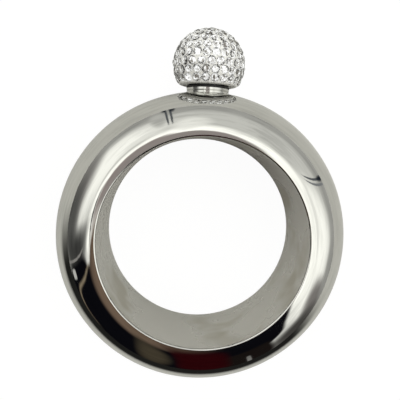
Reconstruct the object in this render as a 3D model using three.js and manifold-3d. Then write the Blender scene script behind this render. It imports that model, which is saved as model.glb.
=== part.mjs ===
// Bangle flask: a hollow stainless steel bracelet that holds a drink, with a threaded neck and a
// ball-shaped screw cap set with crystals. Millimetres, +Z up. The flask lies on its rear rim with
// the neck along +Y, and the origin is on the surface it lies on, under the middle of its outline.
import * as THREE from "three";
import { mergeVertices } from "three/addons/utils/BufferGeometryUtils.js";
import Module from "manifold-3d";

const wasm = await Module();
wasm.setup();

// Ring: two pressed half shells and the band that lies round the wrist
const ringOuterDiameter = 100;
const wristDiameter = 68.6;
const ringWidth = 36;
const sheetThickness = 0.5;
const lipInnerRadius = 0.1; // inside of the tight bend where each half shell turns in to the wrist
const landWidth = 0.6; // narrow flat beside the bend, on which the flask lies

// Neck: a turned tube welded into a hole through the crest of the ring
const collarDiameter = 14.6;
const collarRise = 1.0; // from the crest of the ring to the top of the collar
const neckInsertion = 2.6; // from the crest of the ring down to the inner end of the tube
const boreDiameter = 10.4;
const spoutDiameter = 13.2; // over the screw thread
const spoutHeight = 6.4;
const spoutRounding = 0.4;
const collarGrooves = 2;
const groovePitch = 1.0;
const grooveDepth = 0.25;
const weldGap = 0.25; // round the tube in the hole of the shells

// Washer on the collar, round the foot of the spout
const washerThickness = 0.75;
const washerOverhang = 0.1; // past the collar, all round

// Cap: a threaded steel liner in a moulded core, under a layer of clay that holds the crystals
const capGap = 0.25; // between the washer and the underside of the cap
const threadGap = 0.3; // between the spout and the liner, all round
const linerWall = 0.8;
const linerCeiling = 1.0;
const sealThickness = 1.2;
const sealGap = 0.2; // over, under and round the seal
const glueGap = 0.2; // round the liner in the core, and under the clay
const coreRim = 0.4; // wall of the core round the mouth of the liner
const ballCentreHeight = 7.0; // from the underside of the cap to the middle of its ball
const clayThickness = 1.0;
const clayEdgeRadius = 0.7;

// Crystals, in rings round the ball and one on its pole
const crystalDiameter = 2.5;
const crystalPitch = 3.05;
const crownHeight = 0.25; // above the clay
const crystalSeat = 0.3; // sunk in the clay
const tableShare = 0.58; // flat top against the whole crystal
const crystalSides = 6;

// Smoothness
const ringSegments = 48;
const neckSegments = 30;
const ballSegments = 20;
const profileSteps = 6;
const lipSteps = 2;
const ballSteps = 8;

// Sizes that follow from those above
const ringRadius = ringOuterDiameter / 2;
const wristRadius = wristDiameter / 2;
const halfWidth = ringWidth / 2;
const lipRadius = lipInnerRadius + sheetThickness;
const lipCentre = wristRadius + lipRadius;
const bulgeCentre = lipCentre + landWidth;
const bulgeDepth = ringRadius - bulgeCentre;
const lipEnd = halfWidth - lipRadius;

const collarRadius = collarDiameter / 2;
const boreRadius = boreDiameter / 2;
const spoutRadius = spoutDiameter / 2;
const collarTop = ringRadius + collarRise;
const spoutTop = collarTop + spoutHeight;
const neckEnd = ringRadius - neckInsertion;

const capUnderside = collarTop + washerThickness + capGap;
const linerInnerRadius = spoutRadius + threadGap;
const linerRadius = linerInnerRadius + linerWall;
const sealBottom = spoutTop - capUnderside + sealGap;
const linerDepth = sealBottom + sealThickness + sealGap;
const linerHeight = linerDepth + linerCeiling;
const coreBoreRadius = linerRadius + glueGap;
const coreRimRadius = coreBoreRadius + coreRim;
const coreRadius = Math.hypot(coreRimRadius, ballCentreHeight);
const clayInnerRadius = coreRadius + glueGap;
const clayRadius = clayInnerRadius + clayThickness;
const capTop = capUnderside + ballCentreHeight + clayRadius + crownHeight;
const outlineMiddle = (capTop - ringRadius) / 2; // middle of the whole outline, from the ring's centre

const polishedSteel = new THREE.MeshStandardMaterial({ color: 0xc9c6be, metalness: 1, roughness: 0.06 });
const satinSteel = new THREE.MeshStandardMaterial({ color: 0xa9a69c, metalness: 1, roughness: 0.38 });
const blackRubber = new THREE.MeshStandardMaterial({ color: 0x121212, metalness: 0, roughness: 0.7 });
const clearSilicone = new THREE.MeshStandardMaterial({ color: 0xe6e6e0, metalness: 0, roughness: 0.5 });
const mouldedCore = new THREE.MeshStandardMaterial({ color: 0xd8d6cf, metalness: 0, roughness: 0.6 });
const crystalClay = new THREE.MeshStandardMaterial({ color: 0xe4e3de, metalness: 0.1, roughness: 0.15 });

function point(radius, height) {
  return new THREE.Vector2(radius, height);
}

// Points along an arc of an ellipse, from one angle to another in degrees.
function arc(centre, radiusX, radiusY, fromDegrees, toDegrees, steps) {
  const from = THREE.MathUtils.degToRad(fromDegrees);
  const to = THREE.MathUtils.degToRad(toDegrees);
  const clockwise = toDegrees < fromDegrees;
  return new THREE.EllipseCurve(centre.x, centre.y, radiusX, radiusY, from, to, clockwise).getPoints(steps);
}

// Turns a closed outline, listed anticlockwise, round the Y axis.
function turnClosed(outline, segments) {
  return new THREE.LatheGeometry([...outline, outline[0].clone()], segments);
}

// The solid inside a closed geometry, for joining and cutting.
function solidOf(geometry) {
  const bare = geometry.clone();
  bare.deleteAttribute("normal");
  bare.deleteAttribute("uv");
  const merged = mergeVertices(bare);
  const vertProperties = merged.attributes.position.array;
  const triVerts = new Uint32Array(merged.index.array);
  return new wasm.Manifold(new wasm.Mesh({ numProp: 3, vertProperties, triVerts }));
}

function geometryOf(solid) {
  const mesh = solid.getMesh();
  const geometry = new THREE.BufferGeometry();
  geometry.setAttribute("position", new THREE.BufferAttribute(mesh.vertProperties, 3));
  geometry.setIndex(new THREE.BufferAttribute(mesh.triVerts, 1));
  return geometry;
}

function piece(name, geometry, material) {
  const mesh = new THREE.Mesh(geometry, material);
  mesh.name = name;
  return mesh;
}

// Front half of the ring about the Z axis: an elliptical bulge from the crest to the land, then a tight
// lip turned in to the wrist. Half of the hole for the neck is cut in its meeting edge.
function halfShell() {
  const crest = point(bulgeCentre, 0);
  const roll = point(lipCentre, lipEnd);
  const outline = [
    ...arc(crest, bulgeDepth, halfWidth, 0, 90, profileSteps),
    ...arc(roll, lipRadius, lipRadius, 90, 180, lipSteps),
    ...arc(roll, lipInnerRadius, lipInnerRadius, 180, 90, lipSteps),
    ...arc(crest, bulgeDepth - sheetThickness, halfWidth - sheetThickness, 90, 0, profileSteps),
  ];
  const shell = turnClosed(outline, ringSegments).rotateX(Math.PI / 2);
  const holeRadius = collarRadius + weldGap;
  const holeLength = 2 * bulgeDepth;
  const hole = new THREE.CylinderGeometry(holeRadius, holeRadius, holeLength, neckSegments);
  hole.translate(0, ringRadius, 0);
  return geometryOf(solidOf(shell).subtract(solidOf(hole)));
}

// Plain band between the lips of the two half shells, about the Z axis.
function innerBand() {
  const outline = [
    point(wristRadius, -lipEnd),
    point(wristRadius + sheetThickness, -lipEnd),
    point(wristRadius + sheetThickness, lipEnd),
    point(wristRadius, lipEnd),
  ];
  return turnClosed(outline, ringSegments).rotateX(Math.PI / 2);
}

// Neck about the Y axis, from its inner end to the mouth of the spout: a collar with turned grooves,
// then the spout with a rounded mouth.
function neck() {
  const grooves = [];
  for (let i = collarGrooves; i > 0; i--) {
    const middle = collarTop - i * groovePitch;
    grooves.push(
      point(collarRadius, middle - grooveDepth),
      point(collarRadius - grooveDepth, middle),
      point(collarRadius, middle + grooveDepth),
    );
  }
  const mouth = point(spoutRadius - spoutRounding, spoutTop - spoutRounding);
  const outline = [
    point(boreRadius, neckEnd),
    point(collarRadius, neckEnd),
    ...grooves,
    point(collarRadius, collarTop),
    point(spoutRadius, collarTop),
    ...arc(mouth, spoutRounding, spoutRounding, 0, 90, lipSteps),
    point(boreRadius, spoutTop),
  ];
  return turnClosed(outline, neckSegments);
}

// Flat rubber ring on top of the collar.
function neckWasher() {
  const inner = spoutRadius + washerOverhang;
  const outer = collarRadius + washerOverhang;
  const outline = [
    point(inner, 0),
    point(outer, 0),
    point(outer, washerThickness),
    point(inner, washerThickness),
  ];
  return turnClosed(outline, neckSegments);
}

// Cup that screws onto the spout, open at the underside of the cap.
function capLiner() {
  const outline = [
    point(0, linerDepth),
    point(linerInnerRadius, linerDepth),
    point(linerInnerRadius, 0),
    point(linerRadius, 0),
    point(linerRadius, linerHeight),
    point(0, linerHeight),
  ];
  return new THREE.LatheGeometry(outline, neckSegments);
}

// Disc that closes the mouth of the spout, loose under the ceiling of the liner.
function capSeal() {
  const radius = linerInnerRadius - sealGap;
  const disc = new THREE.CylinderGeometry(radius, radius, sealThickness, neckSegments);
  return disc.translate(0, sealBottom + sealThickness / 2, 0);
}

// Degrees below the equator at which a ball of this radius meets a plane this far under its middle.
function degreesBelowEquator(depth, radius) {
  return THREE.MathUtils.radToDeg(Math.asin(depth / radius));
}

// Ball with a flat underside and a blind bore for the liner.
function capCore() {
  const middle = point(0, ballCentreHeight);
  const boreTop = linerHeight + glueGap;
  const rim = degreesBelowEquator(ballCentreHeight, coreRadius);
  const outline = [
    point(0, boreTop),
    point(coreBoreRadius, boreTop),
    point(coreBoreRadius, 0),
    ...arc(middle, coreRadius, coreRadius, -rim, 90, ballSteps),
  ];
  return new THREE.LatheGeometry(outline, ballSegments);
}

// Crown of one crystal on the ball: a six-sided frustum, pointing away from the ball's middle.
function crystal(latitude, longitude) {
  const girdleRadius = crystalDiameter / 2;
  const height = crownHeight + crystalSeat;
  const stone = new THREE.CylinderGeometry(girdleRadius * tableShare, girdleRadius, height, crystalSides);
  stone.translate(0, clayRadius - crystalSeat + height / 2, 0);
  stone.rotateZ(latitude - Math.PI / 2);
  stone.rotateY(longitude);
  return stone.translate(0, ballCentreHeight, 0);
}

// Every crystal of the ball: rings from just above the clay's lower edge up to the single one on the pole.
function crystals(lowestLatitude) {
  const rowHeight = crystalPitch * Math.cos(Math.PI / 6);
  const span = Math.PI / 2 - lowestLatitude;
  const rows = Math.floor((span * clayRadius) / rowHeight);
  const stones = [crystal(Math.PI / 2, 0)];
  for (let row = 0; row < rows; row++) {
    const latitude = lowestLatitude + (span * row) / rows;
    const ringLength = 2 * Math.PI * clayRadius * Math.cos(latitude);
    const count = Math.floor(ringLength / crystalPitch);
    const stagger = (row % 2) / 2;
    for (let i = 0; i < count; i++) {
      stones.push(crystal(latitude, (2 * Math.PI * (i + stagger)) / count));
    }
  }
  return stones;
}

// Clay layer over the core, open underneath with a rounded lower edge, and the crystals set in it.
function crystalLayer() {
  const middle = point(0, ballCentreHeight);
  const edgeDepth = ballCentreHeight - clayEdgeRadius;
  const edgeReach = Math.sqrt((clayRadius - clayEdgeRadius) ** 2 - edgeDepth ** 2);
  const edge = point(edgeReach, clayEdgeRadius);
  const edgeTurn = THREE.MathUtils.radToDeg(Math.atan2(edgeDepth, edgeReach));
  const rim = degreesBelowEquator(ballCentreHeight, clayInnerRadius);
  const outline = [
    ...arc(middle, clayInnerRadius, clayInnerRadius, 90, -rim, ballSteps),
    ...arc(edge, clayEdgeRadius, clayEdgeRadius, -90, -edgeTurn, lipSteps),
    ...arc(middle, clayRadius, clayRadius, -edgeTurn, 90, ballSteps).slice(1),
  ];
  const layer = new THREE.LatheGeometry(outline, ballSegments);
  const lowestLatitude = crystalPitch / 2 / clayRadius - THREE.MathUtils.degToRad(edgeTurn);
  const stones = crystals(lowestLatitude).map(solidOf);
  return geometryOf(wasm.Manifold.union([solidOf(layer), ...stones]));
}

const shellGeometry = halfShell();
const ring = new THREE.Group();
ring.position.set(0, -outlineMiddle, halfWidth);
ring.add(piece("front_shell", shellGeometry, polishedSteel));
const rearShell = piece("rear_shell", shellGeometry, polishedSteel);
rearShell.rotation.y = Math.PI;
ring.add(rearShell);
ring.add(piece("inner_band", innerBand(), satinSteel));
ring.add(piece("neck", neck(), polishedSteel));
const washer = piece("neck_washer", neckWasher(), blackRubber);
washer.position.y = collarTop;
ring.add(washer);

const cap = new THREE.Group();
cap.position.y = capUnderside;
cap.add(piece("cap_seal", capSeal(), clearSilicone));
cap.add(piece("cap_liner", capLiner(), polishedSteel));
cap.add(piece("cap_core", capCore(), mouldedCore));
cap.add(piece("crystal_layer", crystalLayer(), crystalClay));
ring.add(cap);

const flask = new THREE.Group();
flask.add(ring);

export default flask;
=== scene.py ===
"""Bangle flask: a hollow ring of polished steel with a threaded neck and a crystal-set ball cap.

The flask lies on its rear rim. Its ring goes round Z and its neck points along +Y. Every piece stands
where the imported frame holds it, and rides on the frame's bodies. Lengths are in metres.
"""
import math
import random

import bmesh
import bpy
from bpy.props import FloatProperty, FloatVectorProperty, IntProperty, PointerProperty
from mathutils import Euler, Matrix, Vector


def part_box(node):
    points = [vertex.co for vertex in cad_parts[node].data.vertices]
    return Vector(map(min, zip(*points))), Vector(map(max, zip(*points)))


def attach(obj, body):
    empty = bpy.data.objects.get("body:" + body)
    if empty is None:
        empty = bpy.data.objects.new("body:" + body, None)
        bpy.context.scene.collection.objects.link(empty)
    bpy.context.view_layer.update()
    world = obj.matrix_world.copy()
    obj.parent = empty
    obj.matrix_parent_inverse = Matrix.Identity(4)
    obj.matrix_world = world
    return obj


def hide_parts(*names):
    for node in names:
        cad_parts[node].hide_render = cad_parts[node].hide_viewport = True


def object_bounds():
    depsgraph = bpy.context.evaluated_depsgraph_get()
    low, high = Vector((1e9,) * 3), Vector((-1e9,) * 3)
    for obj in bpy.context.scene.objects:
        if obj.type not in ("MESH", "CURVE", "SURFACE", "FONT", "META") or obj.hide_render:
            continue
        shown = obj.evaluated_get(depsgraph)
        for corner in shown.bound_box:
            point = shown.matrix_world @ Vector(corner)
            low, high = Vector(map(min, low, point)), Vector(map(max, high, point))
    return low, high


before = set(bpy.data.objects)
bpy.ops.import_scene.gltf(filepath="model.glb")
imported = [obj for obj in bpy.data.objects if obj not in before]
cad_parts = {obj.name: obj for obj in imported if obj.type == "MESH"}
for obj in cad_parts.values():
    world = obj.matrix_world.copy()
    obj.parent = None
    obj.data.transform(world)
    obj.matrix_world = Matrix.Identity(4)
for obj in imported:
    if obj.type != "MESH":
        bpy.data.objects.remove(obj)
CAD_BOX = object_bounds()
SHELL_LOW, SHELL_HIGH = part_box("front_shell")
BAND_LOW, BAND_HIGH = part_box("inner_band")
NECK_LOW, NECK_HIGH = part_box("neck")
WASHER_LOW, WASHER_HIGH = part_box("neck_washer")
SEAL_LOW, SEAL_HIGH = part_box("cap_seal")
LINER_LOW, LINER_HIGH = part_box("cap_liner")
LAYER_LOW, LAYER_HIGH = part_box("crystal_layer")

RING_CENTRE = Vector((0, (BAND_LOW.y + BAND_HIGH.y) / 2, (BAND_LOW.z + BAND_HIGH.z) / 2))
RING_RADIUS = (SHELL_HIGH.x - SHELL_LOW.x) / 2
HALF_WIDTH = SHELL_HIGH.z - RING_CENTRE.z
HALF_BAND = BAND_HIGH.z - RING_CENTRE.z
# Turns a shape made about Z so that it stands along the neck, with its foot in the ring's centre
NECK_PLACE = Matrix.Translation(RING_CENTRE) @ Matrix.Rotation(-math.pi / 2, 4, "X")

# Steps along the curves of a profile
BULGE_STEPS, BULGE_INSIDE_STEPS = 56, 24
RIM_STEPS, RIM_INSIDE_STEPS = 14, 6
MOUTH_STEPS, ROUNDING_STEPS = 16, 6
CLAY_STEPS, CLAY_INSIDE_STEPS, CLAY_EDGE_STEPS = 64, 40, 10
# Steps round a turned piece, round the hole for the neck and along one turn of a thread
FINE_TURN, PLAIN_TURN, HOLE_TURN, THREAD_TURN = 128, 96, 48, 64
# Angles in degrees above which an edge is shaded hard: on most pieces, on turned steel and on cut stones
SHARP, TURNED_SHARP, CUT_SHARP = 35, 30, 1
# Points nearer than this become one where a full turn closes
WELD = 2e-6
# Length of the cutter for the neck's hole
HOLE_DEPTH = 0.02

# Corners of a thread's ridge: on its crest or at its root, and how far up one pitch
THREAD_CORNERS = ((False, 0.1), (True, 0.35), (True, 0.5), (False, 0.75))
# How far a ridge's root lies inside the wall that carries it, and the plain length before it starts
THREAD_ROOT, THREAD_LEAD = 0.0001, 0.0004

# A cut stone's sides, then its table, bevels, lower back and ring of inner facets as shares of its radius
STONE_SIDES, TABLE, BEVEL, BACK, INNER = 8, 0.56, 0.13, 0.5, 0.5
# How much deeper the middle of the back is, as a share of the back's depth
TIP = 0.15
# Sectors of a stone, each with a painted light of its own, and how many of them share one among the inner
# facets
SECTORS, INNER_GROUP = 16, 3
# The painted lights, as shares of the foil's colour, that outer and inner facets choose from
OUTER_LIGHTS = (1.0, 1.0, 1.0, 1.0, 0.8, 0.5)
INNER_LIGHTS = (1.0, 0.85, 0.7, 0.55, 0.3)
# Radians within which a stone is turned about itself
ANY_TURN = 6.28
# Size of a pit over that of its stone
PIT_SIZE = 1.02

FLOOR_SIZE = 4
# Distances from the ring's centre between which painted shade darkens the paper, and its share of light
# beyond them
FLOOR_NEAR, FLOOR_FAR, FLOOR_PAINTED_SHADE = 0.085, 0.14, 0.03
# Edges of the paper's painted shade: the heading in degrees that each one faces, and its softness
FLOOR_SHADE_EDGES = ((258, 0.55), (246, 0.42))
# Share of plain white in the paper that the camera sees
FLOOR_BURNT = 0.9
# Light that stands in for many passes through the facets of a crystal
EVENED_LIGHT = (1.5, 1.5, 1.46, 1)
# Turn of the tent's chart, so that bearings start 60 degrees round from +X
CHART_TURN = 120

CAMERA_SENSOR, CAMERA_LENS = 36, 46.42
CAMERA_FROM_RING = Vector((-0.011318, 0.029771, 0.179817))
CAMERA_TURN = Euler((0.0952, 0.0577, -0.0418), "XYZ")

bl_info = {
    "name": "Bangle Flask",
    "version": (1, 0, 0),
    "blender": (4, 5, 0),
    "location": "View3D > Sidebar > Flask",
    "description": "Dresses the packed frame of a bangle flask with its steel, seal and crystals",
    "category": "Add Mesh",
}


def length(name, description, default):
    return FloatProperty(name=name, description=description, default=default, unit="LENGTH", precision=5)


def number(name, description, default, **limits):
    return FloatProperty(name=name, description=description, default=default, **limits)


def colour(name, description, default):
    return FloatVectorProperty(
        name=name, description=description, default=default, size=3, subtype="COLOR", min=0, max=1
    )


class FlaskStage(bpy.types.PropertyGroup):
    """Light and paper round the flask"""

    cloth: colour("Cloth", "Light of the tent's plain walls", (0.74, 0.74, 0.70))
    lamp: number("Lamps", "How much brighter the cloth is by a lamp", 1.9, min=1)
    fill: number("Fill", "Extra light on matte surfaces", 0.7, min=0)
    even: number("Even", "Share of plain light behind the crystals", 0.85, min=0, max=1)
    floor: colour("Floor", "Tint of the paper as the flask reflects it", (0.615, 0.615, 0.597))
    white: number("White", "Brightness of the paper for the camera", 1.06, min=0)


class FlaskRing(bpy.types.PropertyGroup):
    """Sizes of the ring"""

    sheet: length("Sheet", "Thickness of the pressed steel", 0.0005)
    land: length("Land", "Width of the flat beside the turned-in rim", 0.0006)
    turns: IntProperty(name="Steps", description="Steps round the ring", default=288, min=48)
    steel: colour("Polished steel", "Tint of the mirror polish", (0.695, 0.695, 0.672))
    satin: colour("Satin steel", "Tint of the inner band", (0.74, 0.73, 0.70))


class FlaskNeck(bpy.types.PropertyGroup):
    """Sizes of the neck and its thread"""

    bore: length("Bore", "Radius of the pouring bore", 0.0052)
    spout: length("Spout", "Radius over the thread", 0.0066)
    thread_depth: length("Thread depth", "Height of the thread above its root", 0.00045)
    pitch: length("Pitch", "Rise of the thread in one turn", 0.0015)
    grooves: IntProperty(name="Grooves", description="Grooves round the collar", default=2, min=0)
    groove_pitch: length("Groove pitch", "Distance between the collar's grooves", 0.001)
    groove: length("Groove", "Depth of each groove", 0.00025)
    rubber: colour("Rubber", "Tint of the washer", (0.012, 0.012, 0.013))


class FlaskCap(bpy.types.PropertyGroup):
    """Sizes of the cap and its crystals"""

    centre: length("Ball centre", "From the underside of the cap to the ball's middle", 0.007)
    clay_wall: length("Clay wall", "Thickness of the clay on the core", 0.001)
    edge: length("Clay edge", "Rounding of the clay's lower edge", 0.0007)
    crystal: length("Crystal", "Width of one crystal across its corners", 0.0031)
    pitch: length("Pitch", "Distance between crystals in a ring", 0.00305)
    crown: length("Crown", "Height of a crystal above the solid's clay", 0.00025)
    recess: length("Recess", "Depth of the clay between the crystals", 0.00005)
    sunk: length("Sunk", "Depth of a crystal's widest line below the solid's clay", 0.0001)
    point: length("Point", "Depth of a crystal below its widest line", 0.00026)
    lean: number("Lean", "How unevenly the crystals sit", 0.09, subtype="ANGLE")
    wall: length("Liner wall", "Wall of the threaded liner", 0.0008)
    seed: IntProperty(name="Seed", description="Changes how the crystals are turned", default=11)
    clay: colour("Clay", "Tint of the clay between the crystals", (0.85, 0.85, 0.835))


def node(tree, kind, place, **settings):
    """A new node whose settings are its properties, or its inputs where no property has that name."""
    made = tree.nodes.new(kind)
    made.location = place
    for name, value in settings.items():
        if hasattr(made, name):
            setattr(made, name, value)
        else:
            made.inputs[name.replace("_", " ")].default_value = value
    return made


def join(tree, *links):
    """Makes links, each given as a node and its output, and then a node and its input."""
    for source, given, target, taken in links:
        tree.links.new(source.outputs[given], target.inputs[taken])


def ramp(tree, place, *stops):
    """A colour ramp whose stops are each a position and a colour."""
    made = node(tree, "ShaderNodeValToRGB", place)
    elements = made.color_ramp.elements
    while len(elements) < len(stops):
        elements.new(0.5)
    for element, (position, shade) in zip(elements, stops):
        element.position = position
        element.color = (*shade, 1)
    return made


def shaded(tint, *shares):
    """A tint made darker by one share, or by one for each of its parts."""
    return tuple(share * part for share, part in zip(shares if len(shares) > 1 else shares * 3, tint))


def new_group(name, asked, given):
    """A node group with its numbers in and out, and the nodes at its two ends."""
    group = bpy.data.node_groups.new(name, "ShaderNodeTree")
    for end, names in (("INPUT", asked), ("OUTPUT", given)):
        for socket in names:
            group.interface.new_socket(socket, in_out=end, socket_type="NodeSocketFloat")
    return group, node(group, "NodeGroupInput", (-1300, 300)), node(group, "NodeGroupOutput", (500, 0))


def handling_marks():
    """Shared marks of use: soft smears, and the ripple left by polishing."""
    group, asked, given = new_group("Handling marks", ("Smear size", "Ripple size"), ("Smear", "Ripple"))
    place = node(group, "ShaderNodeTexCoord", (-900, -260))
    smear = node(group, "ShaderNodeTexNoise", (-500, 200), Detail=2.0, Roughness=0.5, Distortion=0.3)
    ripple = node(group, "ShaderNodeTexNoise", (-500, -320), Detail=1.0, Roughness=0.4)
    soft = node(group, "ShaderNodeMapRange", (0, 200), From_Min=0.45, From_Max=0.75)
    join(
        group,
        (place, "Object", smear, "Vector"),
        (place, "Object", ripple, "Vector"),
        (asked, "Smear size", smear, "Scale"),
        (asked, "Ripple size", ripple, "Scale"),
        (smear, "Fac", soft, "Value"),
        (soft, "Result", given, "Smear"),
        (ripple, "Fac", given, "Ripple"),
    )
    return group


def rubbed_lines():
    """Shared lines that run round the ring, left by the belt that rubbed and polished it."""
    group, asked, given = new_group("Rubbed lines", ("Along", "Across"), ("Lines",))
    place = node(group, "ShaderNodeTexCoord", (-1700, 0))
    centred = node(group, "ShaderNodeMapping", (-1500, 0), Location=-RING_CENTRE)
    parts = node(group, "ShaderNodeSeparateXYZ", (-1300, 0))
    flat = node(group, "ShaderNodeCombineXYZ", (-1100, 100))
    heading = node(group, "ShaderNodeVectorMath", (-900, 150), operation="NORMALIZE")
    out = node(group, "ShaderNodeVectorMath", (-900, 0), operation="LENGTH")
    height = node(group, "ShaderNodeMath", (-1100, -100), operation="ABSOLUTE")
    girth = node(group, "ShaderNodeMath", (-700, -50), operation="SUBTRACT")
    level = node(group, "ShaderNodeCombineXYZ", (-500, -50))
    spot = node(group, "ShaderNodeVectorMath", (-300, 50), operation="ADD")
    scale = node(group, "ShaderNodeCombineXYZ", (-500, 300))
    stretched = node(group, "ShaderNodeVectorMath", (-150, 150), operation="MULTIPLY")
    lines = node(group, "ShaderNodeTexNoise", (50, 100), Scale=1.0, Detail=3.0, Roughness=0.6)
    join(
        group,
        (place, "Object", centred, "Vector"),
        (centred, "Vector", parts, "Vector"),
        (parts, "X", flat, "X"),
        (parts, "Y", flat, "Y"),
        (parts, "Z", height, 0),
        (flat, "Vector", heading, 0),
        (flat, "Vector", out, 0),
        (height, "Value", girth, 0),
        (out, "Value", girth, 1),
        (girth, "Value", level, "Z"),
        (heading, "Vector", spot, 0),
        (level, "Vector", spot, 1),
        (asked, "Along", scale, "X"),
        (asked, "Along", scale, "Y"),
        (asked, "Across", scale, "Z"),
        (spot, "Vector", stretched, 0),
        (scale, "Vector", stretched, 1),
        (stretched, "Vector", lines, "Vector"),
        (lines, "Fac", given, "Lines"),
    )
    return group


def new_material(name):
    material = bpy.data.materials.new(name)
    material.use_nodes = True
    tree = material.node_tree
    shader = tree.nodes["Principled BSDF"]
    shader.location = (300, 0)
    tree.nodes["Material Output"].location = (620, 0)
    return material, tree, shader


def marks_node(tree, smear, ripple):
    made = node(tree, "ShaderNodeGroup", (-700, 0))
    made.node_tree = bpy.data.node_groups.get("Handling marks") or handling_marks()
    made.inputs["Smear size"].default_value = smear
    made.inputs["Ripple size"].default_value = ripple
    return made


def lines_node(tree, along, across):
    made = node(tree, "ShaderNodeGroup", (-700, -300))
    made.node_tree = bpy.data.node_groups.get("Rubbed lines") or rubbed_lines()
    made.inputs["Along"].default_value = along
    made.inputs["Across"].default_value = across
    return made


def steel_material(name, tint, smooth, smeared, depth, dulled=0.93):
    """Bare steel whose roughness and tint change under smears, with a faint ripple in its reflections."""
    material, tree, shader = new_material(name)
    shader.inputs["Metallic"].default_value = 1
    marks = marks_node(tree, smear=38.0, ripple=60.0)
    gloss = node(tree, "ShaderNodeMapRange", (-380, 0), To_Min=smooth, To_Max=smeared)
    tone = ramp(tree, (-380, 300), (0.0, tint), (1.0, shaded(tint, dulled)))
    bump = node(tree, "ShaderNodeBump", (-60, -260), Strength=1.0, Distance=depth)
    join(
        tree,
        (marks, "Smear", gloss, "Value"),
        (marks, "Smear", tone, "Fac"),
        (gloss, "Result", shader, "Roughness"),
        (tone, "Color", shader, "Base Color"),
        (marks, "Ripple", bump, "Height"),
        (bump, "Normal", shader, "Normal"),
    )
    return material


def polished_material(tint):
    """Mirror polish on the shells: bare steel with dull streaks that follow the ring, more so in smears."""
    material = steel_material("Polished steel", tint, smooth=0.025, smeared=0.08, depth=0.00002, dulled=0.76)
    tree = material.node_tree
    marks, tone, bump = (
        next(made for made in tree.nodes if made.type == kind) for kind in ("GROUP", "VALTORGB", "BUMP")
    )
    lines = lines_node(tree, along=3.0, across=700.0)
    # The lines stand on the ripple, at this share of its height
    uneven = node(tree, "ShaderNodeMath", (-300, -300), operation="MULTIPLY_ADD")
    uneven.inputs[1].default_value = 0.4
    streak = node(tree, "ShaderNodeMapRange", (-500, 500), From_Min=0.44, From_Max=0.64)
    worn = node(tree, "ShaderNodeMapRange", (-500, 300), To_Min=0.4, To_Max=1.0)
    dull = node(tree, "ShaderNodeMath", (-300, 500), operation="MULTIPLY")
    join(
        tree,
        (lines, "Lines", uneven, 0),
        (marks, "Ripple", uneven, 2),
        (uneven, "Value", bump, "Height"),
        (lines, "Lines", streak, "Value"),
        (marks, "Smear", worn, "Value"),
        (streak, "Result", dull, 0),
        (worn, "Result", dull, 1),
        (dull, "Value", tone, "Fac"),
    )
    return material


def satin_material(tint):
    """Steel rubbed round the ring: fine lines that follow the band, under soft smears."""
    material, tree, shader = new_material("Satin steel")
    shader.inputs["Metallic"].default_value = 1
    marks = marks_node(tree, smear=55.0, ripple=60.0)
    lines = lines_node(tree, along=20.0, across=9000.0)
    gloss = node(tree, "ShaderNodeMapRange", (-200, 0), To_Min=0.24, To_Max=0.36)
    tone = ramp(tree, (-200, 300), (0.4, tint), (0.8, shaded(tint, 0.8, 0.78, 0.72)))
    bump = node(tree, "ShaderNodeBump", (0, -260), Strength=0.12, Distance=0.00001)
    join(
        tree,
        (marks, "Smear", gloss, "Value"),
        (marks, "Smear", tone, "Fac"),
        (gloss, "Result", shader, "Roughness"),
        (tone, "Color", shader, "Base Color"),
        (lines, "Lines", bump, "Height"),
        (bump, "Normal", shader, "Normal"),
    )
    return material


def soft_material(name, tint, rough, grain, depth, through=0.0):
    """Matte rubber, silicone, plastic or clay with a fine grain."""
    material, tree, shader = new_material(name)
    shader.inputs["Subsurface Weight"].default_value = through
    shader.inputs["Subsurface Radius"].default_value = (0.001, 0.001, 0.001)
    place = node(tree, "ShaderNodeTexCoord", (-900, 0))
    speck = node(tree, "ShaderNodeTexNoise", (-700, 0), Scale=grain, Detail=4.0, Roughness=0.6)
    tone = ramp(tree, (-400, 200), (0.3, shaded(tint, 0.9)), (0.7, tint))
    gloss = node(tree, "ShaderNodeMapRange", (-400, -40), To_Min=rough - 0.08, To_Max=rough + 0.08)
    bump = node(tree, "ShaderNodeBump", (-100, -260), Strength=0.6, Distance=depth)
    join(
        tree,
        (place, "Object", speck, "Vector"),
        (speck, "Fac", tone, "Fac"),
        (speck, "Fac", gloss, "Value"),
        (speck, "Fac", bump, "Height"),
        (tone, "Color", shader, "Base Color"),
        (gloss, "Result", shader, "Roughness"),
        (bump, "Normal", shader, "Normal"),
    )
    return material


def multiply_tone(material, shade):
    """Multiplies the colour that a material has by that of a ramp."""
    tree = material.node_tree
    shader = tree.nodes["Principled BSDF"]
    tone = shader.inputs["Base Color"].links[0].from_node
    both = node(tree, "ShaderNodeMix", (60, 300), data_type="RGBA", blend_type="MULTIPLY")
    both.inputs["Factor"].default_value = 1
    join(
        tree,
        (tone, "Color", both, "A"),
        (shade, "Color", both, "B"),
        (both, "Result", shader, "Base Color"),
    )


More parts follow.
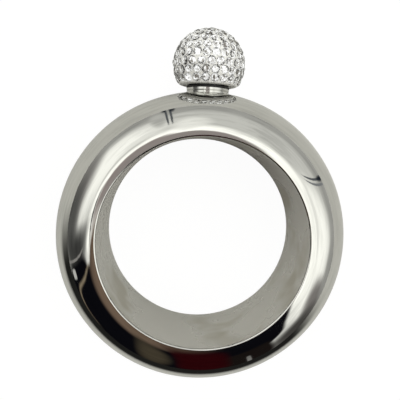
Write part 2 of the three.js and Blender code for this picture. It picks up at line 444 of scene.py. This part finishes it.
def clay_material(tint):
    """Clay with painted shade: lighter on its smooth lower edge, greyer higher up between the crystals where
    the narrow gaps would be shadowed.
    """
    unshaded_edge_height, gap_shade_height = LAYER_LOW.y + 0.0012, LAYER_LOW.y + 0.0028
    material = soft_material("Crystal clay", tint, rough=0.3, grain=1200.0, depth=0.00004)
    tree = material.node_tree
    # Painted shade between the crystals: from just above the lower edge upwards the clay's colour is
    # darkened to 0.92
    place = node(tree, "ShaderNodeTexCoord", (-900, 500))
    parts = node(tree, "ShaderNodeSeparateXYZ", (-700, 500))
    rise = node(tree, "ShaderNodeMapRange", (-500, 500), From_Min=unshaded_edge_height, From_Max=gap_shade_height)
    rise.interpolation_type = "SMOOTHSTEP"
    painted_gap_shade = ramp(tree, (-300, 500), (0.0, (1.0, 1.0, 1.0)), (1.0, (0.92, 0.92, 0.92)))
    join(
        tree,
        (place, "Object", parts, "Vector"),
        (parts, "Y", rise, "Value"),
        (rise, "Result", painted_gap_shade, "Fac"),
    )
    multiply_tone(material, painted_gap_shade)
    return material


def crystal_material():
    """Clear cut crystal."""
    material, tree, shader = new_material("Crystal")
    shader.inputs["Base Color"].default_value = (0.97, 0.98, 1.0, 1)
    shader.inputs["Transmission Weight"].default_value = 1
    shader.inputs["IOR"].default_value = 1.56
    marks = marks_node(tree, smear=300.0, ripple=400.0)
    gloss = node(tree, "ShaderNodeMapRange", (-380, 0), To_Min=0.0, To_Max=0.03)
    join(tree, (marks, "Smear", gloss, "Value"), (gloss, "Result", shader, "Roughness"))
    return material


def foil_material():
    """Silver foil behind each crystal with painted light and shade: each facet's colour is scaled from dark
    to white, so some facets seem to catch the light and others not.
    """
    material = steel_material("Crystal foil", (0.96, 0.96, 0.96), smooth=0.04, smeared=0.14, depth=0.000002)
    tree = material.node_tree
    # Painted light and shade: the facet's chosen light picks a colour from dark to white, multiplied into
    # the foil's
    spark = node(tree, "ShaderNodeAttribute", (-700, 500), attribute_name="Spark")
    stops = ((0.3, (0.2, 0.185, 0.165)), (0.8, (0.8, 0.797, 0.785)), (1.0, (1.0, 1.0, 1.0)))
    painted_facet_light = ramp(tree, (-380, 500), *stops)
    join(tree, (spark, "Fac", painted_facet_light, "Fac"))
    multiply_tone(material, painted_facet_light)
    return material


class Outline:
    """A profile drawn in the XZ plane, point by point, and then turned about Z."""

    def __init__(self, radius, height):
        self.bm = bmesh.new()
        self.first = self.bm.verts.new((radius, 0, height))
        self.last = self.first

    def line(self, radius, height):
        made = bmesh.ops.extrude_vert_indiv(self.bm, verts=[self.last])
        self.last = made["verts"][0]
        self.last.co = (radius, 0, height)
        return self

    def arc(self, radius, height, degrees, steps):
        """Goes anticlockwise round a centre, or clockwise where the angle is negative."""
        made = bmesh.ops.spin(
            self.bm,
            geom=[self.last],
            cent=(radius, 0, height),
            axis=(0, -1, 0),
            angle=math.radians(degrees),
            steps=steps,
        )
        self.last = next(part for part in made["geom_last"] if isinstance(part, bmesh.types.BMVert))
        return self

    def oval(self, radius, height, depth, degrees, steps):
        """An arc whose circle is squeezed along X, so that it reaches only depth from its centre."""
        known = set(self.bm.verts)
        squeeze = depth / math.hypot(self.last.co.x - radius, self.last.co.z - height)
        known.discard(self.last)
        self.arc(radius, height, degrees, steps)
        bmesh.ops.scale(
            self.bm,
            vec=(squeeze, 1, 1),
            space=Matrix.Translation((-radius, 0, -height)),
            verts=[vert for vert in self.bm.verts if vert not in known],
        )
        return self

    def close(self):
        self.bm.edges.new((self.last, self.first))
        return self

    def turn(self, steps):
        bmesh.ops.spin(
            self.bm,
            geom=self.bm.verts[:] + self.bm.edges[:],
            cent=(0, 0, 0),
            axis=(0, 0, 1),
            angle=2 * math.pi,
            steps=steps,
            use_merge=True,
        )
        bmesh.ops.remove_doubles(self.bm, verts=self.bm.verts, dist=WELD)
        bmesh.ops.recalc_face_normals(self.bm, faces=self.bm.faces)
        return self.bm


def thread(root, crest, low, high, pitch):
    """A helical ridge from its root to its crest, climbing from low to high."""
    bm = bmesh.new()
    steps = int((high - low - pitch) / pitch * THREAD_TURN)
    loop = [
        bm.verts.new((crest if on_crest else root, 0, low + share * pitch))
        for on_crest, share in THREAD_CORNERS
    ]
    edges = [bm.edges.new(ends) for ends in zip(loop, loop[1:] + loop[:1])]
    bm.faces.new(loop)
    made = bmesh.ops.spin(
        bm,
        geom=edges + loop,
        cent=(0, 0, 0),
        axis=(0, 0, 1),
        dvec=(0, 0, pitch / THREAD_TURN),
        angle=2 * math.pi * steps / THREAD_TURN,
        steps=steps,
    )
    last = [part for part in made["geom_last"] if isinstance(part, bmesh.types.BMEdge)]
    bmesh.ops.edgeloop_fill(bm, edges=last)
    bmesh.ops.recalc_face_normals(bm, faces=bm.faces)
    return bm


def add_into(bm, other):
    """Adds another bmesh to this one and frees it."""
    mesh = bpy.data.meshes.new("part")
    other.to_mesh(mesh)
    other.free()
    bm.from_mesh(mesh)
    bpy.data.meshes.remove(mesh)
    return bm


def finish_piece(name, bm, place, materials, sharp=SHARP):
    """Makes a smooth-shaded object of a bmesh, with its place in the mesh and hard corners kept hard."""
    bm.transform(place)
    # The order in which faces are made can change from run to run, and that of the points doesn't
    bm.verts.index_update()
    ordered = sorted(bm.faces, key=lambda face: sorted(vert.index for vert in face.verts))
    for i, face in enumerate(ordered):
        face.index = i
    bm.faces.sort()
    mesh = bpy.data.meshes.new(name)
    bm.to_mesh(mesh)
    bm.free()
    mesh.shade_smooth()
    mesh.set_sharp_from_angle(angle=math.radians(sharp))
    for material in materials:
        mesh.materials.append(material)
    piece = bpy.data.objects.new(name, mesh)
    bpy.context.scene.collection.objects.link(piece)
    return piece


def stand_for(piece, body, slot, *nodes):
    """Puts a piece on its body, in place of the frame's own nodes; the slot is not used."""
    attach(piece, body)
    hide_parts(*nodes)


def cut_away(piece, cutter):
    """Cuts a piece with a second object, which is then removed. The cut is of the piece's own material."""
    cut = piece.modifiers.new("Hole", "BOOLEAN")
    cut.object = cutter
    cut.solver = "MANIFOLD"
    bpy.context.view_layer.update()
    seen = piece.evaluated_get(bpy.context.evaluated_depsgraph_get())
    mesh = bpy.data.meshes.new_from_object(seen)
    piece.modifiers.clear()
    old, piece.data = piece.data, mesh
    bpy.data.meshes.remove(old)
    mesh.name = piece.name
    mesh.polygons.foreach_set("material_index", [0] * len(mesh.polygons))
    while len(mesh.materials) > 1:
        mesh.materials.pop()
    mesh.set_sharp_from_angle(angle=math.radians(SHARP))
    bpy.data.objects.remove(cutter)


class FLASK_OT_stage(bpy.types.Operator):
    """Add the pale floor, the light tent round it and the camera above the flask"""

    bl_idname = "flask.stage"
    bl_label = "Stage"

    def execute(self, context):
        stage = context.scene.flask_stage
        self.add_floor(stage)
        self.add_tent(context.scene, stage)
        self.add_camera(context.scene)
        context.scene.view_settings.view_transform = "Standard"
        return {"FINISHED"}

    def add_floor(self, stage):
        bm = bmesh.new()
        bmesh.ops.create_grid(bm, x_segments=1, y_segments=1, size=FLOOR_SIZE)
        material, tree, shader = new_material("Pale floor")
        shader.inputs["Roughness"].default_value = 0.8
        shader.inputs["Specular IOR Level"].default_value = 0
        # Painted shade: the paper's colour darkens where it runs out through the open front, between two
        # edges
        place = node(tree, "ShaderNodeTexCoord", (-1300, 0))
        flat = node(tree, "ShaderNodeMapping", (-1100, 0), Location=-RING_CENTRE, Scale=(1, 1, 0))
        far = node(tree, "ShaderNodeVectorMath", (-900, 100), operation="LENGTH")
        heading = node(tree, "ShaderNodeVectorMath", (-900, -100), operation="NORMALIZE")
        out = node(tree, "ShaderNodeMapRange", (-700, 100), From_Min=FLOOR_NEAR, From_Max=FLOOR_FAR)
        out.interpolation_type = "SMOOTHSTEP"
        gone = out
        for row, (square, soft) in enumerate(FLOOR_SHADE_EDGES):
            inward = math.radians(square)
            past = node(tree, "ShaderNodeVectorMath", (-700, -100 - 200 * row), operation="DOT_PRODUCT")
            past.inputs[1].default_value = (math.cos(inward), math.sin(inward), 0)
            within = node(tree, "ShaderNodeMapRange", (-550, -100 - 200 * row), From_Min=0.0, From_Max=soft)
            within.interpolation_type = "SMOOTHSTEP"
            both = node(tree, "ShaderNodeMath", (-400, -200 * row), operation="MULTIPLY")
            join(
                tree,
                (heading, "Vector", past, 0),
                (past, "Value", within, "Value"),
                (gone, 0, both, 0),
                (within, "Result", both, 1),
            )
            gone = both
        # Painted shade in the paper's colour, seen by every ray but the camera's
        tone = ramp(tree, (-300, 0), (0.0, stage.floor), (1.0, shaded(stage.floor, FLOOR_PAINTED_SHADE)))
        # Seen straight from the camera the paper burns out to white, and only a trace of shade is left
        seen = node(tree, "ShaderNodeLightPath", (-300, 300))
        plain = node(tree, "ShaderNodeMix", (50, 0), data_type="RGBA")
        plain.inputs["B"].default_value = (*stage.floor, 1)
        white = node(tree, "ShaderNodeEmission", (0, -400), Strength=stage.white)
        share = node(tree, "ShaderNodeMath", (0, 300), operation="MULTIPLY")
        share.inputs[1].default_value = FLOOR_BURNT
        burnt = node(tree, "ShaderNodeMixShader", (500, 0))
        join(
            tree,
            (place, "Object", flat, "Vector"),
            (flat, "Vector", far, 0),
            (flat, "Vector", heading, 0),
            (far, "Value", out, "Value"),
            (gone, "Value", tone, "Fac"),
            (seen, "Is Camera Ray", plain, "Factor"),
            (tone, "Color", plain, "A"),
            (plain, "Result", shader, "Base Color"),
            (seen, "Is Camera Ray", share, 0),
            (share, "Value", burnt, "Fac"),
            (shader, "BSDF", burnt, 1),
            (white, "Emission", burnt, 2),
            (burnt, "Shader", tree.nodes["Material Output"], "Surface"),
        )
        floor = finish_piece("Floor", bm, Matrix.Translation((0, 0, CAD_BOX[0].z)), [material])

    def add_tent(self, scene, stage):
        """Cloth walls and roof, a lamp behind each side, poles, an open front and a hole on top."""
        world = bpy.data.worlds.new("Light tent")
        scene.world = world
        world.use_nodes = True
        tree = world.node_tree
        chart = self.tent_chart(tree)
        cloth = tuple(stage.cloth)
        pole = (0.02, 0.025, 0.035)
        dark = (0.004, 0.004, 0.006)

        def lit(times):
            return tuple(times * part for part in cloth)

        # Middle of each patch round and down, half its width and height, all in degrees, fade and light
        patches = (
            # Walls darker towards the floor, bright roof
            (180, 84, 400, 20, 1.0, lit(0.58)),
            (180, 13, 400, 19, 1.0, lit(2.2)),
            (34, 34, 16, 24, 1.0, lit(1.5)),
            # Left wall with its lamp, edge of the roof above and shade below
            (88, 46, 50, 36, 1.0, lit(0.95 * stage.lamp)),
            (88, 26, 44, 3.4, 1.0, lit(1.1)),
            (108, 80, 28, 34, 1.0, (0.24, 0.23, 0.22)),
            (122, 82, 26, 28, 1.0, (0.11, 0.11, 0.105)),
            (138, 58, 15, 45, 1.0, (0.055, 0.055, 0.053)),
            # Right wall with its lamp, folds of its cloth and edge of the roof
            (284, 38, 46, 43, 1.0, lit(stage.lamp)),
            (268, 68, 12, 30, 1.0, (0.25, 0.235, 0.225)),
            (254, 84, 17, 30, 1.0, (0.07, 0.066, 0.062)),
            (282, 88, 16, 22, 1.0, lit(0.55)),
            (296, 30, 26, 5, 1.0, lit(1.45)),
            # Shade beside the far left corner
            (53, 66, 6, 30, 1.0, lit(0.82)),
            # Poles in the two far corners, each a pair of thin lines with darker feet
            (45.8, 68, 0.7, 30, 0.6, (0.1, 0.11, 0.12)),
            (48.2, 68, 0.7, 30, 0.6, (0.1, 0.11, 0.12)),
            (44.9, 91, 2.2, 14, 1.0, pole),
            (49, 93, 1.8, 11, 1.0, pole),
            (318.6, 66, 0.8, 31, 0.6, (0.26, 0.27, 0.28)),
            (321.4, 66, 0.8, 31, 0.6, (0.12, 0.13, 0.14)),
            (321.4, 86, 2.0, 15, 1.0, pole),
            # Open front with hangings behind it and its own poles
            (184, 64.5, 45, 37.5, 0.12, dark),
            (204.5, 38, 48, 29, 0.07, dark),
            (233, 74, 12.5, 26, 0.25, (0.012, 0.009, 0.008)),
            (140.8, 68, 0.8, 36, 0.6, (0.3, 0.29, 0.275)),
            (146.5, 81, 2.8, 6, 0.8, (0.7, 0.69, 0.66)),
            (172, 57, 22, 35, 0.12, (0.36, 0.29, 0.2)),
            (173.6, 55.6, 22, 35, 0.1, dark),
            (192, 90, 26, 8, 0.3, dark),
            (188, 20, 40, 20, 1.0, (0.2, 0.14, 0.1)),
            (196, 62, 9.5, 42, 1.0, (0.07, 0.057, 0.038)),
            (216, 60, 12, 44, 0.9, (0.03, 0.002, 0.0035)),
            (233.6, 82, 1.1, 14, 0.8, (0.24, 0.235, 0.225)),
            # Edge of the roof and the hole in it
            (138, 17, 30, 2, 1.0, (0.02, 0.02, 0.02)),
            (105, 7, 70, 10, 0.4, (0.36, 0.31, 0.295)),
            (180, 0, 400, 11, 0.3, (0.36, 0.32, 0.305)),
        )
        shade = None
        for row, patch in enumerate(patches):
            shade = self.lay_patch(tree, chart, shade, cloth, row, patch)
        seen = node(tree, "ShaderNodeLightPath", (300, 400))
        # The camera itself sees a plain pale backdrop
        shown = node(tree, "ShaderNodeMix", (600, 200), data_type="RGBA")
        shown.inputs["B"].default_value = (stage.white, stage.white, stage.white, 1)
        # Light that has passed through a crystal is evened out, as its many facets would do
        even = node(tree, "ShaderNodeMath", (300, 150), operation="MULTIPLY")
        even.inputs[1].default_value = stage.even
        spread = node(tree, "ShaderNodeMix", (450, 0), data_type="RGBA")
        spread.inputs["B"].default_value = EVENED_LIGHT
        # Matte surfaces get some more light than the polished steel mirrors
        fill = node(tree, "ShaderNodeMath", (600, 450), operation="MULTIPLY_ADD")
        fill.inputs[1].default_value = stage.fill
        fill.inputs[2].default_value = 1
        join(
            tree,
            (seen, "Is Camera Ray", shown, "Factor"),
            (shown, "Result", tree.nodes["Background"], "Color"),
            (seen, "Is Transmission Ray", even, 0),
            (even, "Value", spread, "Factor"),
            (shade, "Result", spread, "A"),
            (spread, "Result", shown, "A"),
            (seen, "Is Diffuse Ray", fill, 0),
            (fill, "Value", tree.nodes["Background"], "Strength"),
        )

    def tent_chart(self, tree):
        """Turns a direction into degrees round the tent and degrees down from its top."""
        place = node(tree, "ShaderNodeTexCoord", (-2000, 0))
        turned = node(tree, "ShaderNodeVectorRotate", (-1800, 150), rotation_type="Z_AXIS")
        turned.inputs["Angle"].default_value = math.radians(CHART_TURN)
        bearing = node(tree, "ShaderNodeTexGradient", (-1600, 150), gradient_type="RADIAL")
        height = node(tree, "ShaderNodeSeparateXYZ", (-1800, -100))
        drop = node(tree, "ShaderNodeMath", (-1600, -100), operation="ARCCOSINE")
        both = node(tree, "ShaderNodeCombineXYZ", (-1400, 0))
        degrees = node(tree, "ShaderNodeVectorMath", (-1200, 0), operation="MULTIPLY")
        degrees.inputs[1].default_value = (360, math.degrees(1), 0)
        join(
            tree,
            (place, "Generated", turned, "Vector"),
            (turned, "Vector", bearing, "Vector"),
            (place, "Generated", height, "Vector"),
            (height, "Z", drop, 0),
            (bearing, "Fac", both, "X"),
            (drop, "Value", both, "Y"),
            (both, "Vector", degrees, 0),
        )
        return degrees

    def lay_patch(self, tree, chart, under, cloth, row, patch):
        """Lays one patch with rounded corners and a soft edge over what is already there."""
        around, down, half_width, half_height, fade, light = patch
        level = -300 * row
        moved = node(tree, "ShaderNodeMapping", (-900, level), vector_type="TEXTURE")
        moved.inputs["Location"].default_value = (around, down, 0)
        moved.inputs["Scale"].default_value = (half_width, half_height, 1)
        reach = node(tree, "ShaderNodeVectorMath", (-500, level), operation="DOT_PRODUCT")
        share = node(tree, "ShaderNodeMapRange", (-300, level), From_Min=1, From_Max=(1 - fade) ** 4)
        share.interpolation_type = "SMOOTHSTEP"
        over = node(tree, "ShaderNodeMix", (-100, level), data_type="RGBA")
        over.inputs["A"].default_value = (*cloth, 1)
        over.inputs["B"].default_value = (*light, 1)
        # A patch that fades all the way to its middle is an oval, and any other has corners
        spread = moved
        if fade < 1:
            spread = node(tree, "ShaderNodeVectorMath", (-700, level), operation="MULTIPLY")
            join(tree, (moved, "Vector", spread, 0), (moved, "Vector", spread, 1))
        join(
            tree,
            (chart, "Vector", moved, "Vector"),
            (spread, "Vector", reach, 0),
            (spread, "Vector", reach, 1),
            (reach, "Value", share, "Value"),
            (share, "Result", over, "Factor"),
        )
        if under:
            join(tree, (under, "Result", over, "A"))
        return over

    def add_camera(self, scene):
        data = bpy.data.cameras.new("Camera")
        data.sensor_width = CAMERA_SENSOR
        data.lens = CAMERA_LENS
        data.clip_start = 0.01
        camera = bpy.data.objects.new("Camera", data)
        scene.collection.objects.link(camera)
        camera.location = RING_CENTRE + CAMERA_FROM_RING
        camera.rotation_euler = CAMERA_TURN.to_matrix().inverted().to_euler()
        scene.camera = camera


class FLASK_OT_ring(bpy.types.Operator):
    """Press the two polished half shells and set the satin band between their rims"""

    bl_idname = "flask.ring"
    bl_label = "Ring"

    def execute(self, context):
        ring = context.scene.flask_ring
        wrist = (BAND_HIGH.x - BAND_LOW.x) / 2 - ring.sheet
        polished = polished_material(ring.steel)
        front = Matrix.Translation(RING_CENTRE)
        rear = front @ Matrix.Rotation(math.pi, 4, "Y")
        for name, place in (("front_shell", front), ("rear_shell", rear)):
            shell = finish_piece(f"{name}_sheet", self.half_shell(ring, wrist), place, [polished])
            cut_away(shell, self.neck_hole(context.scene.flask_neck))
            stand_for(shell, "flask", "polished_steel", name)
        outer = wrist + ring.sheet
        band = Outline(wrist, -HALF_BAND).line(outer, -HALF_BAND).line(outer, HALF_BAND)
        band.line(wrist, HALF_BAND).close()
        piece = finish_piece("inner_band_tube", band.turn(ring.turns), front, [satin_material(ring.satin)])
        stand_for(piece, "flask", "satin_steel", "inner_band")
        return {"FINISHED"}

    def half_shell(self, ring, wrist):
        """The upper half about Z: bulge, land and turned-in rim, and back along the inside of the sheet."""
        rim_centre = wrist + HALF_WIDTH - HALF_BAND
        bulge_centre = rim_centre + ring.land
        bulge = RING_RADIUS - bulge_centre
        outline = Outline(bulge_centre + HALF_WIDTH, 0).oval(bulge_centre, 0, bulge, 90, BULGE_STEPS)
        outline.line(rim_centre, HALF_WIDTH).arc(rim_centre, HALF_BAND, 90, RIM_STEPS)
        outline.line(wrist + ring.sheet, HALF_BAND).arc(rim_centre, HALF_BAND, -90, RIM_INSIDE_STEPS)
        outline.line(bulge_centre, HALF_WIDTH - ring.sheet)
        outline.oval(bulge_centre, 0, bulge - ring.sheet, -90, BULGE_INSIDE_STEPS).close()
        return outline.turn(ring.turns)

    def neck_hole(self, neck):
        bm = bmesh.new()
        radius = (neck.bore + neck.spout) / 2
        bmesh.ops.create_cone(
            bm, cap_ends=True, segments=HOLE_TURN, radius1=radius, radius2=radius, depth=HOLE_DEPTH
        )
        return finish_piece("hole", bm, NECK_PLACE @ Matrix.Translation((0, 0, RING_RADIUS)), [])


class FLASK_OT_neck(bpy.types.Operator):
    """Turn the neck with its collar, grooves and thread, and lay the rubber washer on it"""

    bl_idname = "flask.neck"
    bl_label = "Neck"

    def execute(self, context):
        neck = context.scene.flask_neck
        easing, run_out = 0.00012, 0.0003
        foot = NECK_LOW.y - RING_CENTRE.y
        mouth = NECK_HIGH.y - RING_CENTRE.y
        collar = (NECK_HIGH.x - NECK_LOW.x) / 2
        top = WASHER_LOW.y - RING_CENTRE.y
        root = neck.spout - neck.thread_depth
        outline = Outline(neck.bore, foot).line(collar, foot)
        for down in range(neck.grooves, 0, -1):
            middle = top - down * neck.groove_pitch
            outline.line(collar, middle - neck.groove).line(collar - neck.groove, middle)
            outline.line(collar, middle + neck.groove)
        outline.line(collar, top - easing).line(collar - easing, top).line(root, top)
        lip = (root - neck.bore) / 2
        outline.line(root, mouth - lip).arc(root - lip, mouth - lip, 180, MOUTH_STEPS).close()
        bm = outline.turn(FINE_TURN)
        ridge = thread(root - THREAD_ROOT, neck.spout, top + THREAD_LEAD, mouth - run_out, neck.pitch)
        tint = context.scene.flask_ring.steel
        steel = steel_material("Turned steel", tint, smooth=0.06, smeared=0.14, depth=0.000008)
        piece = finish_piece("neck_turned", add_into(bm, ridge), NECK_PLACE, [steel], TURNED_SHARP)
        stand_for(piece, "flask", "polished_steel", "neck")
        self.add_washer(neck, top)
        return {"FINISHED"}

    def add_washer(self, neck, low):
        gap, rounding = 0.0001, 0.0002
        outer = (WASHER_HIGH.x - WASHER_LOW.x) / 2
        inner = neck.spout + gap
        high = WASHER_HIGH.y - RING_CENTRE.y
        outline = Outline(inner, low).line(outer - rounding, low)
        outline.arc(outer - rounding, low + rounding, 90, ROUNDING_STEPS).line(outer, high - rounding)
        outline.arc(outer - rounding, high - rounding, 90, ROUNDING_STEPS).line(inner, high).close()
        rubber = soft_material("Black rubber", neck.rubber, rough=0.6, grain=2200.0, depth=0.00002)
        piece = finish_piece("neck_washer_ring", outline.turn(PLAIN_TURN), NECK_PLACE, [rubber])
        stand_for(piece, "flask", "black_rubber", "neck_washer")


class FLASK_OT_cap(bpy.types.Operator):
    """Build the cap: threaded liner, sealing disc, moulded core and the clay that holds the crystals"""

    bl_idname = "flask.cap"
    bl_label = "Cap"

    def execute(self, context):
        cap = context.scene.flask_cap
        self.add_liner(cap, context.scene.flask_neck, context.scene.flask_ring)
        self.add_seal()
        moulded = soft_material("Moulded core", (0.83, 0.82, 0.78), rough=0.5, grain=900.0, depth=0.00003)
        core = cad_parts["cap_core"]
        core.data.materials.clear()
        core.data.materials.append(moulded)
        self.add_clay(cap)
        return {"FINISHED"}

    def add_liner(self, cap, neck, ring):
        above_seal, easing = 0.0002, 0.00015
        thread_height, thread_end = 0.0002, 0.0052
        low = LINER_LOW.y - RING_CENTRE.y
        high = LINER_HIGH.y - RING_CENTRE.y
        outer = (LINER_HIGH.x - LINER_LOW.x) / 2
        inner = outer - cap.wall
        ceiling = SEAL_HIGH.y - RING_CENTRE.y + above_seal
        outline = Outline(0, ceiling).line(inner, ceiling).line(inner, low + easing)
        outline.line(inner + easing, low).line(outer - easing, low).line(outer, low + easing)
        outline.line(outer, high).line(0, high)
        bm = outline.turn(PLAIN_TURN)
        crest = inner - thread_height
        ridge = thread(inner + THREAD_ROOT, crest, low + THREAD_LEAD, low + thread_end, neck.pitch)
        steel = steel_material("Liner steel", ring.steel, smooth=0.12, smeared=0.2, depth=0.000008)
        piece = finish_piece("cap_liner_cup", add_into(bm, ridge), NECK_PLACE, [steel], TURNED_SHARP)
        stand_for(piece, "cap", "turned_steel", "cap_liner")

    def add_seal(self):
        rounding, recess, land, slope = 0.0003, 0.0002, 0.002, 0.0004
        low = SEAL_LOW.y - RING_CENTRE.y
        high = SEAL_HIGH.y - RING_CENTRE.y
        radius = (SEAL_HIGH.x - SEAL_LOW.x) / 2
        outline = Outline(0, low + recess).line(radius - land - slope, low + recess).line(radius - land, low)
        outline.line(radius - rounding, low).arc(radius - rounding, low + rounding, 90, ROUNDING_STEPS)
        outline.line(radius, high - rounding)
        outline.arc(radius - rounding, high - rounding, 90, ROUNDING_STEPS).line(0, high)
        tint = (0.82, 0.82, 0.79)
        silicone = soft_material("Silicone", tint, rough=0.45, grain=1500.0, depth=0.00001, through=0.5)
        piece = finish_piece("cap_seal_disc", outline.turn(PLAIN_TURN), NECK_PLACE, [silicone])
        stand_for(piece, "cap_seal", "silicone", "cap_seal")

    def add_clay(self, cap):
        low = LAYER_LOW.y - RING_CENTRE.y
        middle, radius = ball(cap)
        inner = radius - cap.clay_wall
        radius -= cap.recess
        depth = cap.centre - cap.edge
        reach = math.sqrt((radius - cap.edge) ** 2 - depth**2)
        edge_turn = math.degrees(math.atan2(depth, reach))
        rim_turn = math.degrees(math.asin(cap.centre / inner))
        outline = Outline(0, middle + inner).arc(0, middle, -90 - rim_turn, CLAY_INSIDE_STEPS)
        outline.line(reach, low).arc(reach, low + cap.edge, 90 - edge_turn, CLAY_EDGE_STEPS)
        outline.arc(0, middle, 90 + edge_turn, CLAY_STEPS)
        clay = clay_material(cap.clay)
        piece = finish_piece("crystal_layer_clay", outline.turn(FINE_TURN), NECK_PLACE, [clay])
        cut_away(piece, finish_piece("pits", set_stones(cap, PIT_SIZE), NECK_PLACE, []))
        stand_for(piece, "cap", "crystal_clay", "crystal_layer")


class FLASK_OT_crystals(bpy.types.Operator):
    """Set the cut crystals in rings round the ball, each turned its own way"""

    bl_idname = "flask.crystals"
    bl_label = "Crystals"

    def execute(self, context):
        stones = set_stones(context.scene.flask_cap, 1.0)
        materials = [crystal_material(), foil_material()]
        piece = finish_piece("crystals", stones, NECK_PLACE, materials, CUT_SHARP)
        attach(piece, "cap")
        return {"FINISHED"}


def ball(cap):
    """Height of the ball's middle above the ring's centre, and the radius of its clay."""
    middle = LAYER_LOW.y - RING_CENTRE.y + cap.centre
    return middle, LAYER_HIGH.y - RING_CENTRE.y - middle - cap.crown


def seats(cap):
    """Latitude and longitude of every crystal, in rings from the clay's lower edge to the pole."""
    middle, radius = ball(cap)
    depth = cap.centre - cap.edge
    reach = math.sqrt((radius - cap.edge) ** 2 - depth**2)
    lowest = cap.pitch / 2 / radius - math.atan2(depth, reach)
    span = math.pi / 2 - lowest
    rows = int(span * radius / (cap.pitch * math.cos(math.pi / 6)))
    for row in range(rows):
        latitude = lowest + span * row / rows
        count = int(2 * math.pi * radius * math.cos(latitude) / cap.pitch)
        for i in range(count):
            yield latitude, 2 * math.pi * (i + row % 2 / 2) / count
    yield math.pi / 2, 0


def cut_stone(cap, size):
    """One crystal about Z with its widest line at zero: a bevelled crown, and a shallow foiled back below.

    Each face is numbered by its sector, and the faces near the middle by numbers after those.
    """
    bm = bmesh.new()
    girdle = cap.crystal / 2
    crown = cap.crown + cap.sunk
    bmesh.ops.create_cone(
        bm, cap_ends=True, segments=STONE_SIDES, radius1=girdle, radius2=girdle * TABLE, depth=crown
    )
    bmesh.ops.translate(bm, vec=(0, 0, crown / 2), verts=bm.verts)
    slopes = [edge for edge in bm.edges if abs(edge.verts[0].co.z - edge.verts[1].co.z) > crown / 2]
    bmesh.ops.bevel(
        bm, geom=slopes, offset=girdle * BEVEL, affect="EDGES", segments=1, profile=0.5, material=-1
    )
    base = min(bm.faces, key=lambda face: face.calc_center_median().z)
    tip = bmesh.ops.extrude_discrete_faces(bm, faces=[base])["faces"][0]
    bmesh.ops.scale(bm, vec=(BACK, BACK, 1), verts=tip.verts)
    bmesh.ops.translate(bm, vec=(0, 0, -cap.point), verts=tip.verts)
    bmesh.ops.poke(bm, faces=[tip], offset=-TIP * cap.point)
    bmesh.ops.recalc_face_normals(bm, faces=bm.faces)
    sector = bm.faces.layers.float.new("Spark")
    for face in bm.faces:
        face.material_index = 1 if face.normal.z < 0 else 0
        middle = face.calc_center_median()
        face[sector] = math.atan2(middle.y, middle.x) // (2 * math.pi / SECTORS) % SECTORS
        if math.hypot(middle.x, middle.y) < girdle * INNER:
            face[sector] = SECTORS + face[sector] // INNER_GROUP
    bmesh.ops.scale(bm, vec=(size, size, size), verts=bm.verts)
    mesh = bpy.data.meshes.new("stone")
    bm.to_mesh(mesh)
    bm.free()
    return mesh


def set_stones(cap, size):
    """All the crystals on the ball, about Z; a size over 1 gives the pits that they sit in."""
    middle, radius = ball(cap)
    stone = cut_stone(cap, size)
    chance = random.Random(cap.seed)
    bm = bmesh.new()
    spark = bm.faces.layers.float.new("Spark")
    for latitude, longitude in seats(cap):
        known = len(bm.verts)
        cut = len(bm.faces)
        bm.from_mesh(stone)
        bm.verts.ensure_lookup_table()
        bm.faces.ensure_lookup_table()
        # Painted light and shade: each sector of this stone's foil gets a brightness of its own
        lights = [chance.choice(OUTER_LIGHTS) for _ in range(SECTORS)]
        lights += [chance.choice(INNER_LIGHTS) for _ in range(SECTORS)]
        for face in bm.faces[cut:]:
            face[spark] = lights[int(face[spark])]
        # The stone on the pole sits straight, so that it stays inside the solid's height
        lean = 0 if latitude == math.pi / 2 else cap.lean
        tilt = Euler((chance.gauss(0, lean), chance.gauss(0, lean), chance.uniform(0, ANY_TURN)))
        place = Matrix.Translation((0, 0, middle)) @ Matrix.Rotation(longitude, 4, "Z")
        place = place @ Matrix.Rotation(math.pi / 2 - latitude, 4, "Y")
        place = place @ Matrix.Translation((0, 0, radius - cap.sunk)) @ tilt.to_matrix().to_4x4()
        bmesh.ops.transform(bm, matrix=place, verts=bm.verts[known:])
    bpy.data.meshes.remove(stone)
    return bm


class FLASK_PT_panel(bpy.types.Panel):
    """Lists the flask's sizes and the steps that build it"""

    bl_idname = "FLASK_PT_panel"
    bl_label = "Bangle Flask"
    bl_space_type = "VIEW_3D"
    bl_region_type = "UI"
    bl_category = "Flask"

    def draw(self, context):
        scene = context.scene
        for settings in (scene.flask_stage, scene.flask_ring, scene.flask_neck, scene.flask_cap):
            box = self.layout.box()
            for name in settings.__annotations__:
                box.prop(settings, name)
        for operator in OPERATORS:
            self.layout.operator(operator.bl_idname)


OPERATORS = (FLASK_OT_stage, FLASK_OT_ring, FLASK_OT_neck, FLASK_OT_cap, FLASK_OT_crystals)
CLASSES = (FlaskStage, FlaskRing, FlaskNeck, FlaskCap, *OPERATORS, FLASK_PT_panel)


def register():
    for cls in CLASSES:
        bpy.utils.register_class(cls)
    bpy.types.Scene.flask_stage = PointerProperty(type=FlaskStage)
    bpy.types.Scene.flask_ring = PointerProperty(type=FlaskRing)
    bpy.types.Scene.flask_neck = PointerProperty(type=FlaskNeck)
    bpy.types.Scene.flask_cap = PointerProperty(type=FlaskCap)


def unregister():
    del bpy.types.Scene.flask_cap
    del bpy.types.Scene.flask_neck
    del bpy.types.Scene.flask_ring
    del bpy.types.Scene.flask_stage
    for cls in reversed(CLASSES):
        bpy.utils.unregister_class(cls)


def main():
    register()
    bpy.ops.flask.stage()
    bpy.ops.flask.ring()
    bpy.ops.flask.neck()
    bpy.ops.flask.cap()
    bpy.ops.flask.crystals()


if __name__ == "__main__":
    main()
